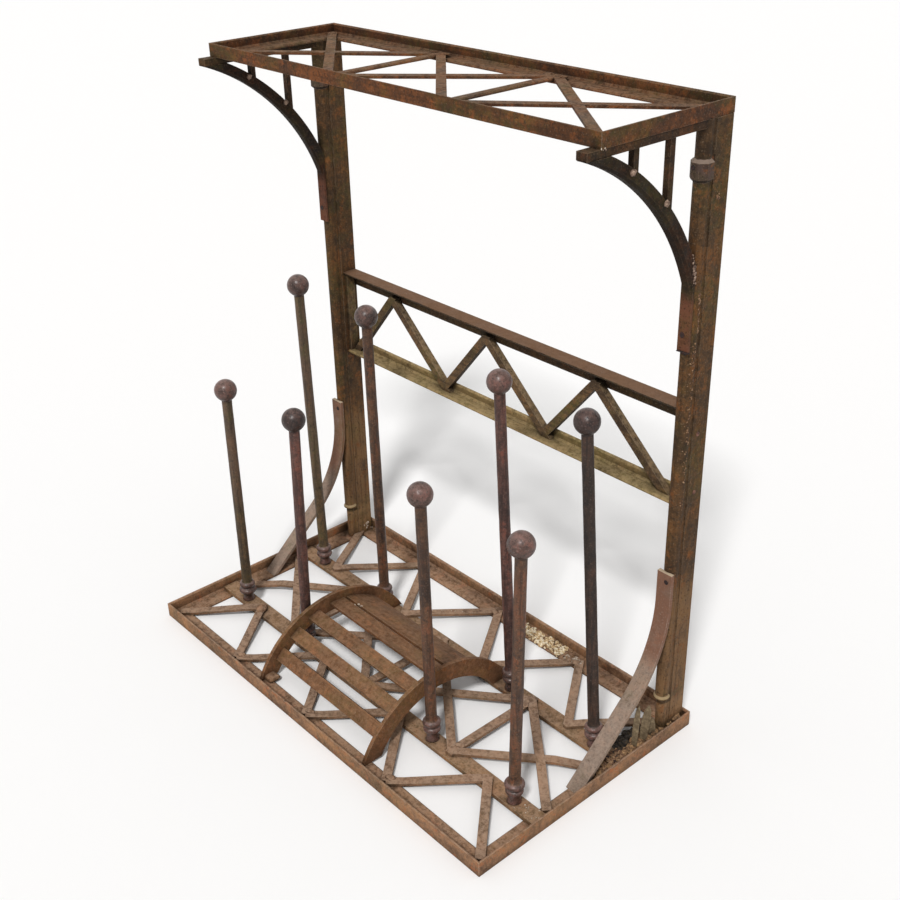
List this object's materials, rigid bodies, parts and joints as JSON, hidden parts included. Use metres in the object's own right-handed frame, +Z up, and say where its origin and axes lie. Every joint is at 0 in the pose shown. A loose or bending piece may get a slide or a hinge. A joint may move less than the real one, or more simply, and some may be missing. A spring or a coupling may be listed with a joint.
{
  "type": "boot rack",
  "caption": "Rusty iron boot rack: latticed tray with ball-topped boot posts, an arched boot scraper and a latticed shelf on bowed brackets.",
  "frame": {"origin": "centre of the tray's footprint, on the floor", "axes": "+X along the rack's long side, +Y from the front to the back where the uprights stand, +Z up"},
  "size_m": [0.8, 0.438, 0.9435],
  "materials": {
    "tray_iron": "matt orange-brown rust",
    "lattice_iron": "matt brown rust with olive patches",
    "rail_iron": "matt umber rust with olive patches",
    "post_iron": "matt purplish-brown rust",
    "scraper_iron": "scaly orange-red rust",
    "upright_iron": "matt brown rust over cast iron",
    "shelf_iron": "matt brown rust, dark in the corners",
    "truss_iron": "dusty tan-brown rust"
  },
  "bodies": {
    "root": {"front_boot_post_1": "post_iron", "front_boot_post_2": "post_iron", "front_boot_post_3": "post_iron", "front_boot_post_4": "post_iron", "front_post_rail": "rail_iron", "front_zigzag_bars": "lattice_iron", "left_bracket_bar": "upright_iron", "left_bracket_bow": "upright_iron", "left_bracket_struts": "upright_iron", "left_foot_brace": "upright_iron", "left_truss_stile": "truss_iron", "left_upright": "upright_iron", "rear_boot_post_1": "post_iron", "rear_boot_post_2": "post_iron", "rear_boot_post_3": "post_iron", "rear_boot_post_4": "post_iron", "rear_post_rail": "rail_iron", "rear_zigzag_bars": "lattice_iron", "right_bracket_bar": "upright_iron", "right_bracket_bow": "upright_iron", "right_bracket_struts": "upright_iron", "right_foot_brace": "upright_iron", "right_truss_stile": "truss_iron", "right_upright": "upright_iron", "scraper_left_arch": "scraper_iron", "scraper_right_arch": "scraper_iron", "scraper_scoop": "scraper_iron", "scraper_slats": "scraper_iron", "shelf_cross_bar_1": "shelf_iron", "shelf_cross_bar_2": "shelf_iron", "shelf_falling_brace_1": "shelf_iron", "shelf_falling_brace_2": "shelf_iron", "shelf_falling_brace_3": "shelf_iron", "shelf_front_angle": "shelf_iron", "shelf_left_angle": "shelf_iron", "shelf_rear_angle": "shelf_iron", "shelf_right_angle": "shelf_iron", "shelf_rising_brace_1": "shelf_iron", "shelf_rising_brace_2": "shelf_iron", "shelf_rising_brace_3": "shelf_iron", "tray_cross_bar_1": "lattice_iron", "tray_cross_bar_2": "lattice_iron", "tray_cross_bar_3": "lattice_iron", "tray_falling_brace_1": "lattice_iron", "tray_falling_brace_2": "lattice_iron", "tray_falling_brace_3": "lattice_iron", "tray_falling_brace_4": "lattice_iron", "tray_front_angle": "tray_iron", "tray_left_angle": "tray_iron", "tray_rear_angle": "tray_iron", "tray_right_angle": "tray_iron", "tray_rising_brace_1": "lattice_iron", "tray_rising_brace_2": "lattice_iron", "tray_rising_brace_3": "lattice_iron", "tray_rising_brace_4": "lattice_iron", "truss_bottom_rail": "truss_iron", "truss_top_rail": "truss_iron", "truss_vee_1": "truss_iron", "truss_vee_2": "truss_iron", "truss_vee_3": "truss_iron"}
  },
  "joints": []
}
